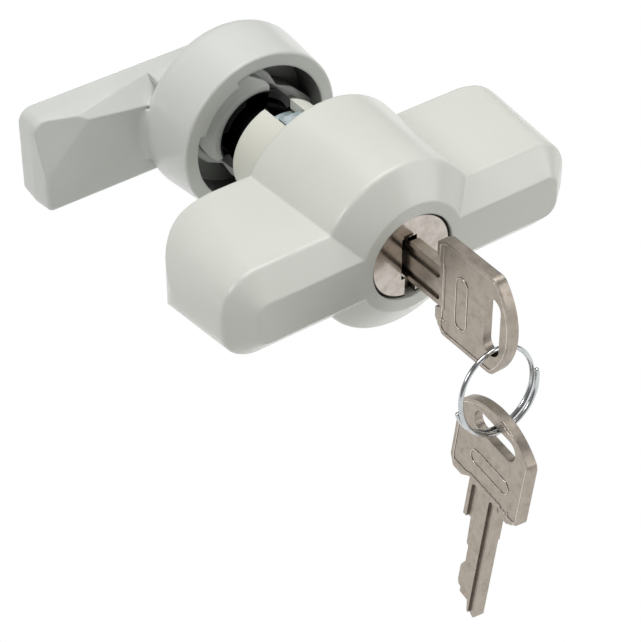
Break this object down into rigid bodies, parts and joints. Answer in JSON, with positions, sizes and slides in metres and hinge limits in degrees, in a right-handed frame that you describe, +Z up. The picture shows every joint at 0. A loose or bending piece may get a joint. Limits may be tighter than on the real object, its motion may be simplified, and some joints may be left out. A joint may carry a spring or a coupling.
{
  "type": "enclosure key lock",
  "caption": "Keyed wing knob with a wafer lock and clutch, a slotted tube through the panel and a quarter-turn lever behind it, with keys on a split ring.",
  "frame": {"origin": "on the turning axis, at the knob's rear face, which meets the panel", "axes": "+Y along the axis, from the knob through the panel to the lever; X along the wings; +Z up, the side of the key's cuts"},
  "size_m": [0.0841, 0.1131, 0.0928],
  "materials": {
    "knob_plastic": "light grey moulded nylon, soft sheen",
    "lever_plastic": "light grey moulded nylon, soft sheen",
    "tube_plastic": "cream moulded nylon",
    "black_plastic": "black nylon",
    "black_rubber": "black nitrile rubber",
    "black_metal": "black, glossy",
    "zinc_steel": "zinc plated steel, bluish",
    "nickel": "nickel plated, worn polish",
    "ring_steel": "bright plated wire",
    "brass": "plain brass"
  },
  "bodies": {
    "knob": {"front_handle": "knob_plastic", "handle_back": "knob_plastic", "back_screws": "zinc_steel", "rear_seal": "black_rubber", "drive_tube": "tube_plastic", "tube_pins": "zinc_steel", "lock_housing": "nickel", "housing_pin": "zinc_steel", "spindle": "black_metal", "spindle_pin": "zinc_steel", "spindle_oring": "black_rubber", "lever_washer": "zinc_steel", "lever_screw": "zinc_steel"},
    "plug": {"lock_plug": "nickel", "plug_clip": "zinc_steel", "cam_shaft": "zinc_steel", "wafer_springs": "zinc_steel"},
    "clutch": {"clutch_dog": "zinc_steel", "cam_pins": "zinc_steel"},
    "lever": {"rear_lever": "lever_plastic", "lever_bush": "black_plastic", "lever_cap": "lever_plastic"},
    "wafers": {"wafer_tumblers": "brass"},
    "key": {"key": "nickel"},
    "ring": {"key_ring": "ring_steel"},
    "spare": {"spare_key": "nickel"}
  },
  "joints": [
    {"name": "plug_turn", "type": "hinge", "parent": "knob", "child": "plug", "pos_m": [0, 0, 0], "axis": [0, 1, 0], "range_deg": [0, 90]},
    {"name": "clutch_slide", "type": "slide", "parent": "knob", "child": "clutch", "axis": [0, 1, 0], "range_m": [0, 0.01]},
    {"name": "lever_turn", "type": "hinge", "parent": "knob", "child": "lever", "pos_m": [0, 0.035, 0], "axis": [0, 1, 0], "range_deg": [0, 90]},
    {"name": "key_slide", "type": "slide", "parent": "plug", "child": "key", "axis": [0, -1, 0], "range_m": [0, 0.024]},
    {"name": "wafer_drop", "type": "slide", "parent": "plug", "child": "wafers", "axis": [0, 0, -1], "range_m": [0, 0.0006]},
    {"name": "ring_swing", "type": "hinge", "parent": "key", "child": "ring", "pos_m": [0, -0.054, -0.00615], "axis": [1, 0, 0], "range_deg": [-25, 10]},
    {"name": "spare_swing", "type": "hinge", "parent": "ring", "child": "spare", "pos_m": [0, -0.05679, -0.02373], "axis": [1, 0, 0], "range_deg": [-20, 12]}
  ],
  "couplings": [
    {"joint": "clutch_slide", "follows": "plug_turn", "m_per_rad": 0.006366},
    {"joint": "wafer_drop", "follows": "key_slide", "ratio": 0.025}
  ]
}
